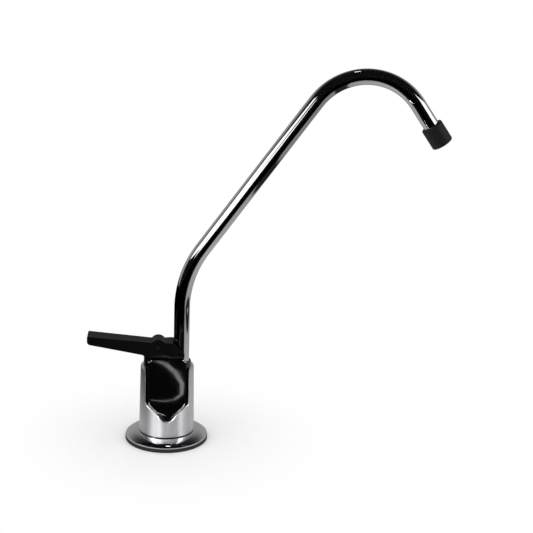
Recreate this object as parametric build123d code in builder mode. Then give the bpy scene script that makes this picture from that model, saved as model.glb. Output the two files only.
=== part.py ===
"""Long-reach drinking water filter tap: a lever tap for a hole in a sink or worktop.

A black moulded valve body stands in a satin sleeve whose two windows show its flat sides. A lever is pinned
to the valve stem and rocks on the bonnet, which lifts the stem off its seat against a spring. A bent chrome
tube swivels on two O-rings beside the stem and ends in a black cap.

Millimetres, +Z up. The origin is the centre of the rubber washer's underside, on the worktop. The spout
reaches towards +X and the lever towards -X.
"""

import math
import os

from build123d import *

os.makedirs("parts", exist_ok=True)

# Fits that several pieces share
run_fit = 0.05  # radial gap of a shaft that turns or slides
seat_fit = 0.02  # gap of a piece pushed home
free_gap = 0.3  # gap between pieces that move past each other
overrun = 5.0  # how far a cut runs past the piece it cuts
seal_sides = 8  # flats of a squeezed seal's section
half_turn_deg = 180.0

# Spout tube, 3/8 inch, its path measured along the centreline
tube_radius = 4.7625
tube_wall = 0.9
spout_x = 8.5
tube_foot_z = 35.0
knee_z = 104.8  # where the upright and the leaning run would meet
knee_radius = 64.0
lean_deg = 35.7  # both leaning runs, from upright
arch_radius = 37.2
arch_top_z = 226.7
end_run = 28.4  # from the arch to the outlet, cap included

# Nozzle cap
cap_radius = 6.6
cap_length = 13.3
cap_socket_depth = 9.5
cap_outlet_radius = 3.4
cap_edge_radius = 0.9
cap_mouth_bevel = 1.2

# Rubber washer and chrome flange
washer_margin = 0.25  # how far the washer shows round the flange
washer_thickness = 2.2
washer_edge_bevel = 0.5
shank_hole_radius = 6.2
flange_radius = 25.2
flange_wall = 1.0
flange_lip = 0.7
flange_crown_height = 3.4
flange_crown_margin = 0.6  # crown beyond the sleeve's foot
flange_sag = 0.5  # how far the flared face sags below a straight cone
flange_edge_bevel = 0.25

# Satin sleeve
sleeve_foot_radius = 17.0
sleeve_rim_radius = 16.3
sleeve_rim_z = 48.0
sleeve_wall_top = 1.75
sleeve_rim_round = 1.3
window_half_width = 13.3
window_shoulder_z = 25.7  # where each side meets its sloping shoulder
window_tip_z = 15.6
window_corner_radius = 1.6
window_ogee_half = 6.4  # half width of the ogee between the shoulders
window_ogee_z = 20.9
window_ogee_shoulder_pull = 2.6
window_ogee_tip_pull = 3.1

# Valve body
core_fit = 0.05
core_collar_radius = 16.0
core_collar_height = 0.6
core_top_z = 50.3
cheek_top_z = 53.8
cheek_half_top = 9.5
cheek_half_foot = 13.7
channel_half = 7.0
flat_distance = 9.1
flat_foot_z = 25.7
core_edge_round = 0.35
cheek_edge_round = 0.3

# Valve chamber, on the stem's axis
stem_x = -5.7
chamber_radius = 5.3
chamber_floor_z = 18.6
seat_radius = 3.2
seat_height = 1.1
inlet_radius = 1.9
passage_radius = 1.5
passage_rise = 3.0  # its axis above the chamber's floor

# Threaded shank, 7/16 inch
shank_radius = 5.556
shank_top_z = 15.0
shank_foot_z = -52.0
shank_bore_radius = 2.3
tube_socket_radius = 3.3
tube_socket_depth = 16.0
shank_chamfer = 0.8
shank_seal_minor = 0.85
gallery_height = 2.0

# Fastening under the worktop
worktop = 20.0
clamp_radius = 15.9
clamp_thickness = 3.0
clamp_edge_bevel = 0.5
lock_radius = 9.6
lock_thickness = 0.9
lock_teeth = 12
lock_tooth_depth = 1.6
lock_slot = 1.3
nut_flat_radius = 9.5
nut_height = 6.5
nut_chamfer_deg = 30.0
thread_gap = 0.05

# Bonnet
bonnet_radius = 8.7
bonnet_flat = 6.7
bonnet_flange = 2.7
bonnet_neck_radius = 6.1
bonnet_neck = 9.8
bonnet_edge_bevel = 0.5
bonnet_seal_minor = 0.58
bonnet_seal_rise = 3.0  # its centre above the neck's foot

# Valve stem, seat washer and pivot pin
stem_radius = 2.4
foot_radius = 4.4
foot_height = 3.2
cup_depth = 1.0
disc_radius = 3.7
disc_thickness = 2.2
disc_gap = 0.05
stem_seal_minor = 0.41
stem_seal_z = 45.0
eye_radius = 3.2
eye_half_width = 2.5
pin_radius = 1.6
pin_z = 60.6
pin_stand = 0.12
pin_edge_bevel = 0.25

# Return spring and its washer
spring_wire = 0.8
spring_wire_sides = 6  # few faces for a wire this thin
spring_mean_radius = 3.7
spring_turns = 5
spring_washer_radius = 5.1
spring_washer_thickness = 0.8

# Spout's foot inside the valve body
well_floor_z = 18.6
stub_foot_z = 24.0
stub_bore_radius = 2.6
stub_spigot = 6.0
spout_seal_minor = 0.72
spout_seal_rise = 1.7
spout_seal_pitch = 3.2
snap_rise = 7.4
snap_thickness = 0.8
snap_outer_radius = 5.3
snap_inner_radius = 4.2
snap_mouth_deg = 50.0

# Lever
press_deg = 12.0
lever_tip_x = -48.6
lever_tip_top_z = 67.2
lever_tip_foot_z = 62.2
lever_tip_top_round = 0.7
lever_tip_foot_round = 2.2
hub_top_x = -9.6
hub_top_z = 63.4
heel_top_x = -14.5
heel_top_z = 55.4
heel_x = -13.9
heel_toe_x = 2.9
prong_slope_x = 3.4
prong_end_x = 10.4
prong_end_top_z = 56.7
prong_rise = 0.6  # how far the prongs' ends stay above the hub's foot
knuckle_radius = 4.8
knuckle_half = 5.5
prong_half = 6.6
waist_half = 5.6
waist_near_x = -11.0
waist_far_x = -2.5
flare_end_x = 1.6
lever_tip_half = 6.4
tube_slot_half = 5.1
slot_half = 2.8
lever_edge_round = 0.4
hub_blend = 4.0
heel_blend = 1.5
heel_round = 0.5
prong_round = 0.8
prong_foot_round = 0.5
waist_blend = 3.0
pocket_half = 3.4
pocket_wall = 1.9
pocket_near_x = -18.0
pocket_far_x = -44.5

# Sizes that follow from the ones above
lean = math.radians(lean_deg)
press = math.radians(press_deg)
washer_radius = flange_radius + washer_margin
flange_crown_radius = sleeve_foot_radius + flange_crown_margin
body_foot_z = washer_thickness + flange_crown_height
sleeve_foot_z = body_foot_z + core_collar_height
sleeve_bore_radius = sleeve_rim_radius - sleeve_wall_top
core_radius = sleeve_bore_radius - core_fit
bonnet_top_z = core_top_z + bonnet_flange
bonnet_foot_z = core_top_z - bonnet_neck
seat_top_z = chamber_floor_z + seat_height
disc_foot_z = seat_top_z + disc_gap
foot_z = disc_foot_z + disc_thickness - cup_depth
foot_top_z = foot_z + foot_height
spring_top_z = bonnet_foot_z - spring_washer_thickness
well_radius = tube_radius + run_fit
passage_z = chamber_floor_z + passage_rise
snap_z = stub_foot_z + snap_rise
clamp_top_z = -worktop
lock_top_z = clamp_top_z - clamp_thickness
nut_top_z = lock_top_z - lock_thickness
nut_foot_z = nut_top_z - nut_height
hub_foot_z = bonnet_top_z + free_gap
slot_head = eye_radius + free_gap
slot_foot = stem_radius * math.cos(press) + (pin_z - hub_foot_z) * math.sin(press) + free_gap
tube_side_x = spout_x - tube_radius
slot_end_top_x = tube_side_x - free_gap
slot_end_foot_x = slot_end_top_x - (pin_z - hub_foot_z) * math.sin(press)
pin_half = waist_half + pin_stand


def save(part, label):
    """Label a finished piece and write it to its own file."""
    part.label = label
    export_step(part, f"parts/{label}.step")


def turned(centre_x, outline, mode=Mode.ADD):
    """Revolve an outline of (radius, height) corners about the upright axis at centre_x."""
    with BuildSketch(Plane.XZ) as profile:
        with BuildLine():
            Polyline(*[(centre_x + radius, height) for radius, height in outline], close=True)
        make_face()
    revolve(profile.sketch, axis=Axis((centre_x, 0, 0), (0, 0, 1)), mode=mode)


def seal(centre_x, height, inner_radius, minor):
    """An O-ring squeezed in its groove, so that its section has a flat on every side."""
    with BuildSketch(Plane.XZ) as section:
        with Locations((centre_x + inner_radius + minor, height)):
            RegularPolygon(minor, seal_sides, major_radius=False, rotation=half_turn_deg / seal_sides)
    revolve(section.sketch, axis=Axis((centre_x, 0, 0), (0, 0, 1)))


def groove(centre_x, height, inner_radius, outer_radius, minor):
    """A square O-ring groove, a little taller than the ring that sits in it."""
    half = minor + seat_fit
    outline = (
        (inner_radius, height - half),
        (outer_radius, height - half),
        (outer_radius, height + half),
        (inner_radius, height + half),
    )
    turned(centre_x, outline, mode=Mode.SUBTRACT)


# Rubber washer that seals the tap to the worktop
with BuildPart() as base_washer:
    with BuildSketch():
        Circle(washer_radius)
        Circle(shank_hole_radius, mode=Mode.SUBTRACT)
    extrude(amount=washer_thickness)
    chamfer(base_washer.edges().group_by(Axis.Z)[-1].sort_by(SortBy.LENGTH)[-1], washer_edge_bevel)
save(base_washer.part, "base_washer")

# Chrome flange: a thin pressed dish whose crown carries the body
with BuildPart() as escutcheon:
    lip_z = washer_thickness + flange_lip
    inner_x = flange_radius - flange_wall
    under_z = body_foot_z - flange_wall
    sag_point = ((flange_crown_radius + flange_radius) / 2, (body_foot_z + lip_z) / 2 - flange_sag)
    under_sag = (sag_point[0] - flange_wall, sag_point[1] - flange_wall)
    with BuildSketch(Plane.XZ):
        with BuildLine():
            Line((shank_hole_radius, body_foot_z), (flange_crown_radius, body_foot_z))
            ThreePointArc((flange_crown_radius, body_foot_z), sag_point, (flange_radius, lip_z))
            Line((flange_radius, lip_z), (flange_radius, washer_thickness))
            Line((flange_radius, washer_thickness), (inner_x, washer_thickness))
            Line((inner_x, washer_thickness), (flange_crown_radius - flange_wall, under_z))
            Line((flange_crown_radius - flange_wall, under_z), (shank_hole_radius, under_z))
            Line((shank_hole_radius, under_z), (shank_hole_radius, body_foot_z))
        make_face()
    revolve(axis=Axis.Z)
    outer_edges = escutcheon.edges().filter_by(GeomType.CIRCLE).filter_by_position(Axis.Z, lip_z, body_foot_z)
    chamfer(outer_edges.sort_by(SortBy.RADIUS)[-2:], flange_edge_bevel)
save(escutcheon.part, "escutcheon")

# Valve body: one black moulding with flat sides, two cheeks, the valve chamber and the spout's well
with BuildPart() as valve_body:
    with BuildSketch(Plane.XY.offset(body_foot_z)):
        Circle(core_radius)
    extrude(amount=cheek_top_z - body_foot_z)
    # Flat sides, each running out through the round body on a 45 degree ramp
    with BuildSketch(Plane.YZ):
        ramp = core_radius + overrun - flat_distance
        with BuildLine():
            Polyline(
                (flat_distance, cheek_top_z + overrun),
                (flat_distance, flat_foot_z),
                (flat_distance + ramp, flat_foot_z - ramp),
                (flat_distance + ramp, cheek_top_z + overrun),
                close=True,
            )
        make_face()
        mirror(about=Plane.YZ)
    extrude(amount=core_radius + overrun, both=True, mode=Mode.SUBTRACT)
    # Sloping shoulders of the cheeks
    with BuildSketch(Plane.XZ):
        with BuildLine():
            Polyline(
                (cheek_half_top, cheek_top_z),
                (cheek_half_foot, core_top_z),
                (core_radius + overrun, core_top_z),
                (core_radius + overrun, cheek_top_z + overrun),
                (cheek_half_top, cheek_top_z + overrun),
                close=True,
            )
        make_face()
        mirror(about=Plane.YZ)
    extrude(amount=core_radius + overrun, both=True, mode=Mode.SUBTRACT)
    # Channel for the lever's hub, which leaves the cheeks standing
    with BuildSketch(Plane.XY.offset(core_top_z)):
        Rectangle(2 * (core_radius + overrun), 2 * channel_half)
    extrude(amount=cheek_top_z - core_top_z + overrun, mode=Mode.SUBTRACT)
    # Softened edges: the arc under each flat, and the outlines of the flats and the cheeks
    ramp_arcs = valve_body.edges().filter_by(GeomType.ELLIPSE).filter_by_position(Axis.Z, 0, flat_foot_z)
    fillet(ramp_arcs, core_edge_round)
    cheek_edges = valve_body.edges().filter_by_position(Axis.Z, core_top_z, cheek_top_z, inclusive=(False, True))
    fillet(cheek_edges, cheek_edge_round)
    # Collar that the sleeve stands on
    with BuildSketch(Plane.XY.offset(body_foot_z)):
        Circle(core_collar_radius)
    extrude(amount=core_collar_height)
    # Valve chamber, its wider mouth for the bonnet's neck, and the raised seat round the inlet
    turned(
        stem_x,
        (
            (0, core_top_z),
            (0, seat_top_z),
            (seat_radius, seat_top_z),
            (seat_radius, chamber_floor_z),
            (chamber_radius, chamber_floor_z),
            (chamber_radius, bonnet_foot_z),
            (bonnet_neck_radius + seat_fit, bonnet_foot_z),
            (bonnet_neck_radius + seat_fit, core_top_z),
        ),
        mode=Mode.SUBTRACT,
    )
    # Shank socket with its seal's recess, the gallery over the shank's end and the inlet to the seat
    seal_recess_radius = shank_radius + seat_fit + 2 * (shank_seal_minor + seat_fit)
    turned(
        0,
        (
            (0, body_foot_z),
            (seal_recess_radius, body_foot_z),
            (seal_recess_radius, body_foot_z + 2 * (shank_seal_minor + seat_fit)),
            (shank_radius + thread_gap, body_foot_z + 2 * (shank_seal_minor + seat_fit)),
            (shank_radius + thread_gap, shank_top_z),
            (0, shank_top_z),
        ),
        mode=Mode.SUBTRACT,
    )
    with BuildSketch(Plane.XY.offset(shank_top_z)):
        with Locations((stem_x / 2, 0)):
            SlotCenterToCenter(-stem_x, 2 * inlet_radius)
    extrude(amount=gallery_height, mode=Mode.SUBTRACT)
    with BuildSketch(Plane.XY.offset(shank_top_z)):
        with Locations((stem_x, 0)):
            Circle(inlet_radius)
    extrude(amount=seat_top_z - shank_top_z, mode=Mode.SUBTRACT)
    # Spout's well with the split ring's groove, and the passage from the chamber
    turned(
        spout_x,
        (
            (0, well_floor_z),
            (well_radius, well_floor_z),
            (well_radius, snap_z - run_fit),
            (snap_outer_radius + run_fit, snap_z - run_fit),
            (snap_outer_radius + run_fit, snap_z + snap_thickness + run_fit),
            (well_radius, snap_z + snap_thickness + run_fit),
            (well_radius, core_top_z),
            (0, core_top_z),
        ),
        mode=Mode.SUBTRACT,
    )
    with BuildSketch(Plane.YZ.offset(stem_x + seat_radius)):
        with Locations((0, passage_z)):
            Circle(passage_radius)
    extrude(amount=spout_x - stem_x - seat_radius, mode=Mode.SUBTRACT)
save(valve_body.part, "valve_body")

# Satin sleeve: a slightly tapered tube with a window on each side, open at the top
with BuildPart() as body_sleeve:
    turned(
        0,
        (
            (sleeve_bore_radius, sleeve_foot_z),
            (sleeve_foot_radius, sleeve_foot_z),
            (sleeve_rim_radius, sleeve_rim_z),
            (sleeve_bore_radius, sleeve_rim_z),
        ),
    )
    rim = body_sleeve.edges().group_by(Axis.Z)[-1].sort_by(SortBy.LENGTH)[-1]
    fillet(rim, sleeve_rim_round)
    with BuildSketch(Plane.XZ):
        above = sleeve_rim_z + overrun
        with BuildLine():
            shoulder = FilletPolyline(
                (0, above),
                (window_half_width, above),
                (window_half_width, window_shoulder_z),
                (window_ogee_half, window_ogee_z),
                radius=window_corner_radius,
            )
            Bezier(
                shoulder @ 1,
                shoulder @ 1 + (shoulder % 1) * window_ogee_shoulder_pull,
                (window_ogee_tip_pull, window_tip_z),
                (0, window_tip_z),
            )
            mirror(about=Plane.YZ)
        make_face()
    extrude(amount=sleeve_foot_radius + overrun, both=True, mode=Mode.SUBTRACT)
save(body_sleeve.part, "body_sleeve")

# Shank: the hollow threaded inlet, with a wider socket for the supply tube at its foot
with BuildPart() as threaded_shank:
    turned(
        0,
        (
            (shank_bore_radius, shank_top_z),
            (shank_bore_radius, shank_foot_z + tube_socket_depth),
            (tube_socket_radius, shank_foot_z + tube_socket_depth),
            (tube_socket_radius, shank_foot_z),
            (shank_radius - shank_chamfer, shank_foot_z),
            (shank_radius, shank_foot_z + shank_chamfer),
            (shank_radius, shank_top_z),
        ),
    )
save(threaded_shank.part, "threaded_shank")

with BuildPart() as shank_o_ring:
    seal(0, body_foot_z + shank_seal_minor + seat_fit, shank_radius + seat_fit, shank_seal_minor)
save(shank_o_ring.part, "shank_o_ring")

# Black plastic washer under the worktop
with BuildPart() as clamping_washer:
    with BuildSketch(Plane.XY.offset(lock_top_z)):
        Circle(clamp_radius)
        Circle(shank_hole_radius, mode=Mode.SUBTRACT)
    extrude(amount=clamp_thickness)
    chamfer(clamping_washer.edges().group_by(Axis.Z)[0].sort_by(SortBy.LENGTH)[-1], clamp_edge_bevel)
save(clamping_washer.part, "clamping_washer")

# Toothed lock washer
with BuildPart() as lock_washer:
    with BuildSketch(Plane.XY.offset(nut_top_z)):
        Circle(lock_radius)
        Circle(shank_hole_radius, mode=Mode.SUBTRACT)
        with PolarLocations(lock_radius, lock_teeth):
            Rectangle(2 * lock_tooth_depth, lock_slot, mode=Mode.SUBTRACT)
    extrude(amount=lock_thickness)
save(lock_washer.part, "lock_washer")

# Hexagon nut with both faces turned to a cone
with BuildPart() as mounting_nut:
    with BuildSketch(Plane.XY.offset(nut_foot_z)):
        RegularPolygon(nut_flat_radius, 6, major_radius=False)
        Circle(shank_radius + thread_gap, mode=Mode.SUBTRACT)
    extrude(amount=nut_height)
    nut_corner_radius = nut_flat_radius / math.cos(math.radians(30))
    cone_drop = (nut_corner_radius - nut_flat_radius) * math.tan(math.radians(nut_chamfer_deg))
    turned(
        0,
        (
            (0, nut_foot_z),
            (nut_flat_radius, nut_foot_z),
            (nut_corner_radius, nut_foot_z + cone_drop),
            (nut_corner_radius, nut_top_z - cone_drop),
            (nut_flat_radius, nut_top_z),
            (0, nut_top_z),
        ),
        mode=Mode.INTERSECT,
    )
save(mounting_nut.part, "mounting_nut")

# Bonnet: closes the chamber, guides the stem and carries the lever's heel
with BuildPart() as stem_bonnet:
    turned(
        stem_x,
        (
            (stem_radius + run_fit, bonnet_foot_z),
            (bonnet_neck_radius, bonnet_foot_z),
            (bonnet_neck_radius, core_top_z),
            (bonnet_radius, core_top_z),
            (bonnet_radius, bonnet_top_z),
            (stem_radius + run_fit, bonnet_top_z),
        ),
    )
    with BuildSketch(Plane.XY.offset(core_top_z)):
        with Locations((stem_x, bonnet_flat + overrun / 2), (stem_x, -bonnet_flat - overrun / 2)):
            Rectangle(2 * (bonnet_radius + overrun), overrun)
    extrude(amount=bonnet_flange, mode=Mode.SUBTRACT)
    top_edges = stem_bonnet.edges().filter_by_position(Axis.Z, bonnet_top_z, bonnet_top_z)
    chamfer(top_edges.sort_by_distance((stem_x, 0, bonnet_top_z))[1:], bonnet_edge_bevel)
    bonnet_seal_z = bonnet_foot_z + bonnet_seal_rise
    bonnet_groove_radius = bonnet_neck_radius - 2 * bonnet_seal_minor
    groove(stem_x, bonnet_seal_z, bonnet_groove_radius, bonnet_neck_radius + overrun, bonnet_seal_minor)
save(stem_bonnet.part, "stem_bonnet")

with BuildPart() as bonnet_o_ring:
    seal(stem_x, bonnet_seal_z, bonnet_groove_radius, bonnet_seal_minor)
save(bonnet_o_ring.part, "bonnet_o_ring")

# Stem: rod, foot cup for the seat washer, seal groove and the flat eye for the pivot pin
with BuildPart() as valve_stem:
    turned(
        stem_x,
        (
            (0, pin_z),
            (0, foot_z + cup_depth),
            (disc_radius + seat_fit, foot_z + cup_depth),
            (disc_radius + seat_fit, foot_z),
            (foot_radius, foot_z),
            (foot_radius, foot_top_z),
            (stem_radius, foot_top_z),
            (stem_radius, pin_z),
        ),
    )
    with BuildSketch(Plane.XZ):
        with Locations((stem_x, pin_z)):
            Circle(eye_radius)
    extrude(amount=eye_half_width, both=True)
    stem_groove_radius = stem_radius - 2 * stem_seal_minor
    groove(stem_x, stem_seal_z, stem_groove_radius, stem_radius + overrun, stem_seal_minor)
    with BuildSketch(Plane.XZ):
        with Locations((stem_x, pin_z)):
            Circle(pin_radius + seat_fit)
    extrude(amount=eye_half_width + overrun, both=True, mode=Mode.SUBTRACT)
save(valve_stem.part, "valve_stem")

with BuildPart() as stem_o_ring:
    seal(stem_x, stem_seal_z, stem_groove_radius, stem_seal_minor)
save(stem_o_ring.part, "stem_o_ring")

# Rubber disc in the stem's foot that shuts on the raised seat
with BuildPart() as seat_washer:
    with BuildSketch(Plane.XY.offset(disc_foot_z)):
        with Locations((stem_x, 0)):
            Circle(disc_radius)
    extrude(amount=disc_thickness)
save(seat_washer.part, "seat_washer")

with BuildPart() as pivot_pin:
    with BuildSketch(Plane.XZ):
        with Locations((stem_x, pin_z)):
            Circle(pin_radius)
    extrude(amount=pin_half, both=True)
    chamfer(pivot_pin.edges().filter_by(GeomType.CIRCLE), pin_edge_bevel)
save(pivot_pin.part, "pivot_pin")

# Return spring: a helix of half-turn biarcs, swept as one tube between the stem's foot and its washer
spring_rise = spring_top_z - foot_top_z - spring_wire - 2 * seat_fit
spring_pitch = spring_rise / spring_turns
spring_slope = spring_pitch / (2 * math.pi * spring_mean_radius)


def spring_point(turn):
    """Place and direction on the spring's centreline, a number of turns above its foot."""
    angle = 2 * math.pi * turn
    place = Vector(
        stem_x + spring_mean_radius * math.cos(angle),
        spring_mean_radius * math.sin(angle),
        foot_top_z + seat_fit + spring_wire / 2 + spring_pitch * turn,
    )
    return place, Vector(-math.sin(angle), math.cos(angle), spring_slope).normalized()


def biarc_joint(start, start_way, end, end_way):
    """Where two equal-handled tangent arcs from start to end meet."""
    chord = end - start
    ways = start_way + end_way
    bend = 2 * (start_way.dot(end_way) - 1)
    reach = chord.dot(ways)
    handle = (reach - math.sqrt(reach * reach - bend * chord.dot(chord))) / bend
    return (start + start_way * handle + end - end_way * handle) / 2


with BuildPart() as valve_spring:
    with BuildLine() as spring_line:
        for half_turn in range(2 * spring_turns):
            start, start_way = spring_point(half_turn / 2)
            end, end_way = spring_point((half_turn + 1) / 2)
            joint = biarc_joint(start, start_way, end, end_way)
            first = TangentArc(start, joint, tangent=start_way)
            TangentArc(joint, end, tangent=first % 1)
    with BuildSketch(Plane(origin=spring_line.line @ 0, z_dir=spring_line.line % 0)):
        RegularPolygon(spring_wire / 2, spring_wire_sides)
    sweep()
save(valve_spring.part, "valve_spring")

with BuildPart() as spring_washer:
    with BuildSketch(Plane.XY.offset(spring_top_z)):
        with Locations((stem_x, 0)):
            Circle(spring_washer_radius)
            Circle(stem_radius + free_gap, mode=Mode.SUBTRACT)
    extrude(amount=spring_washer_thickness)
save(spring_washer.part, "spring_washer")

# Lever: hub with knuckle and prongs, and a tapering arm cored from below
with BuildPart() as lever:
    lever_corners = (
        ((lever_tip_x, lever_tip_top_z), lever_tip_top_round),
        ((hub_top_x, hub_top_z), hub_blend),
        ((prong_slope_x, hub_top_z), prong_round),
        ((prong_end_x, prong_end_top_z), prong_round),
        ((prong_end_x, hub_foot_z + prong_rise), prong_foot_round),
        ((heel_toe_x, hub_foot_z), hub_blend),
        ((heel_x, hub_foot_z), heel_round),
        ((heel_top_x, heel_top_z), heel_blend),
        ((lever_tip_x, lever_tip_foot_z), lever_tip_foot_round),
    )
    with BuildSketch(Plane.XZ):
        with BuildLine():
            FilletPolyline(
                *[corner for corner, _ in lever_corners],
                radius=[radius for _, radius in lever_corners],
                close=True,
            )
        make_face()
    extrude(amount=prong_half + overrun, both=True)
    # Plan outline: a wide tip, a waist at the hub and a flare out to the prongs
    with BuildSketch(Plane.XY.offset(hub_foot_z - overrun)):
        with BuildLine():
            Line((lever_tip_x - overrun, 0), (lever_tip_x - overrun, lever_tip_half))
            FilletPolyline(
                (lever_tip_x - overrun, lever_tip_half),
                (waist_near_x, waist_half),
                (waist_far_x, waist_half),
                (flare_end_x, prong_half),
                (prong_end_x + overrun, prong_half),
                radius=waist_blend,
            )
            Line((prong_end_x + overrun, prong_half), (prong_end_x + overrun, 0))
            mirror(about=Plane.XZ)
        make_face()
    extrude(amount=lever_tip_top_z - hub_foot_z + 2 * overrun, mode=Mode.INTERSECT)
    outline = lever.edges().filter_by(Axis.Y, reverse=True).filter_by(Axis.Z, reverse=True)
    fillet(outline, lever_edge_round)
    # Knuckle over the pin
    with BuildSketch(Plane.XZ):
        with Locations((stem_x, pin_z)):
            Circle(knuckle_radius)
    extrude(amount=knuckle_half, both=True)
    # Pocket that cores the arm from below and leaves an even wall under its top
    with BuildSketch(Plane.XZ):
        top_slope = (lever_tip_top_z - hub_top_z) / (lever_tip_x - hub_top_x)
        near_top_z = hub_top_z + top_slope * (pocket_near_x - hub_top_x) - pocket_wall
        far_top_z = hub_top_z + top_slope * (pocket_far_x - hub_top_x) - pocket_wall
        with BuildLine():
            Polyline(
                (pocket_near_x, hub_foot_z - overrun),
                (pocket_near_x, near_top_z),
                (pocket_far_x, far_top_z),
                (pocket_far_x, hub_foot_z - overrun),
                close=True,
            )
        make_face()
    extrude(amount=pocket_half, both=True, mode=Mode.SUBTRACT)
    # Slot between the prongs, its end sloped so that it clears the tube with the lever pressed
    with BuildSketch(Plane.XZ):
        slot_slope = (slot_end_top_x - slot_end_foot_x) / (pin_z - hub_foot_z)
        with BuildLine():
            Polyline(
                (slot_end_top_x, pin_z + overrun),
                (slot_end_top_x, pin_z),
                (slot_end_foot_x - slot_slope * overrun, hub_foot_z - overrun),
                (prong_end_x + overrun, hub_foot_z - overrun),
                (prong_end_x + overrun, pin_z + overrun),
                close=True,
            )
        make_face()
    extrude(amount=tube_slot_half, both=True, mode=Mode.SUBTRACT)
    # Slot for the stem's eye, flared downwards so that the stem clears it with the lever pressed
    with BuildSketch(Plane.XZ):
        foot_flare = slot_foot + (slot_foot - slot_head) / (pin_z - hub_foot_z) * overrun
        with Locations((stem_x, pin_z)):
            Circle(slot_head)
        with BuildLine():
            Polyline(
                (stem_x - slot_head, pin_z),
                (stem_x + slot_head, pin_z),
                (stem_x + foot_flare, hub_foot_z - overrun),
                (stem_x - foot_flare, hub_foot_z - overrun),
                close=True,
            )
        make_face()
    extrude(amount=slot_half, both=True, mode=Mode.SUBTRACT)
    # Pin bore
    with BuildSketch(Plane.XZ):
        with Locations((stem_x, pin_z)):
            Circle(pin_radius + run_fit)
    extrude(amount=prong_half + overrun, both=True, mode=Mode.SUBTRACT)
save(lever.part, "lever")

# Spout tube: upright run, knee, leaning run, arch and end run
arch_centre_z = arch_top_z - arch_radius
arch_start_z = arch_centre_z + arch_radius * math.sin(lean)
arch_start_x = spout_x + (arch_start_z - knee_z) * math.tan(lean)
arch_end_x = arch_start_x + 2 * arch_radius * math.cos(lean)
peak_x = (arch_start_x + arch_end_x) / 2
peak_z = arch_start_z + (peak_x - arch_start_x) / math.tan(lean)
out_way = Vector(math.sin(lean), 0, -math.cos(lean))
outlet = Vector(arch_end_x, 0, arch_start_z) + out_way * end_run
tube_end = outlet - out_way * (cap_length - cap_socket_depth)

with BuildPart() as spout_tube:
    with BuildLine():
        FilletPolyline(
            (spout_x, 0, tube_foot_z),
            (spout_x, 0, knee_z),
            (peak_x, 0, peak_z),
            tube_end,
            radius=[knee_radius, arch_radius],
        )
    with BuildSketch(Plane.XY.offset(tube_foot_z)):
        with Locations((spout_x, 0)):
            Circle(tube_radius)
            Circle(tube_radius - tube_wall, mode=Mode.SUBTRACT)
    sweep()
save(spout_tube.part, "spout_tube")

# Nozzle cap, pushed over the tube's end
with BuildPart() as nozzle_cap:
    cap_plane = Plane(origin=outlet, x_dir=(math.cos(lean), 0, math.sin(lean)), z_dir=(0, -1, 0))
    socket_radius = tube_radius + seat_fit
    socket_floor = cap_length - cap_socket_depth
    with BuildSketch(cap_plane):
        with BuildLine():
            Polyline(
                (cap_outlet_radius + cap_mouth_bevel, 0),
                (cap_radius, 0),
                (cap_radius, cap_length),
                (socket_radius, cap_length),
                (socket_radius, socket_floor),
                (cap_outlet_radius, socket_floor),
                (cap_outlet_radius, cap_mouth_bevel),
                close=True,
            )
        make_face()
    revolve(axis=Axis(outlet, out_way))
    rims = nozzle_cap.edges().filter_by(GeomType.CIRCLE).group_by(SortBy.RADIUS)[-1]
    fillet(rims, cap_edge_radius)
save(nozzle_cap.part, "nozzle_cap")

# Stub in the tube's foot: spigot, stop, split ring's groove and two seal grooves
with BuildPart() as spout_stub:
    spigot_radius = tube_radius - tube_wall - seat_fit
    snap_groove_radius = snap_inner_radius - run_fit
    turned(
        spout_x,
        (
            (stub_bore_radius, stub_foot_z),
            (tube_radius, stub_foot_z),
            (tube_radius, snap_z - run_fit),
            (snap_groove_radius, snap_z - run_fit),
            (snap_groove_radius, snap_z + snap_thickness + run_fit),
            (tube_radius, snap_z + snap_thickness + run_fit),
            (tube_radius, tube_foot_z),
            (spigot_radius, tube_foot_z),
            (spigot_radius, tube_foot_z + stub_spigot),
            (stub_bore_radius, tube_foot_z + stub_spigot),
        ),
    )
    spout_groove_radius = tube_radius - 2 * spout_seal_minor
    spout_seal_heights = [stub_foot_z + spout_seal_rise + n * spout_seal_pitch for n in range(2)]
    for height in spout_seal_heights:
        groove(spout_x, height, spout_groove_radius, tube_radius + overrun, spout_seal_minor)
save(spout_stub.part, "spout_stub")

with BuildPart() as spout_o_rings:
    for height in spout_seal_heights:
        seal(spout_x, height, spout_groove_radius, spout_seal_minor)
save(spout_o_rings.part, "spout_o_rings")

# Split ring that holds the spout in the body and lets it swivel
with BuildPart() as spout_retaining_ring:
    with BuildSketch(Plane.XY.offset(snap_z)):
        with Locations((spout_x, 0)):
            Circle(snap_outer_radius)
            Circle(snap_inner_radius, mode=Mode.SUBTRACT)
        mouth_half = snap_outer_radius * math.tan(math.radians(snap_mouth_deg / 2))
        with BuildLine():
            Polyline(
                (spout_x, 0),
                (spout_x + snap_outer_radius, mouth_half),
                (spout_x + snap_outer_radius, -mouth_half),
                close=True,
            )
        make_face(mode=Mode.SUBTRACT)
    extrude(amount=snap_thickness)
save(spout_retaining_ring.part, "spout_retaining_ring")
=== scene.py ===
# %% [markdown]
# # A drinking water filter tap
#
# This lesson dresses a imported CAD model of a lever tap. The CAD file settles every size: the bent tube, the
# black valve body in its satin sleeve, the lever and the flange. Blender adds what the CAD leaves out, such
# as the finishes, the screw thread and the smooth skins of the metal pieces, and then lights it like a
# studio photograph.

# %% Load the tap
import math

import bmesh
import bpy
from mathutils import Matrix, Vector


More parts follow.
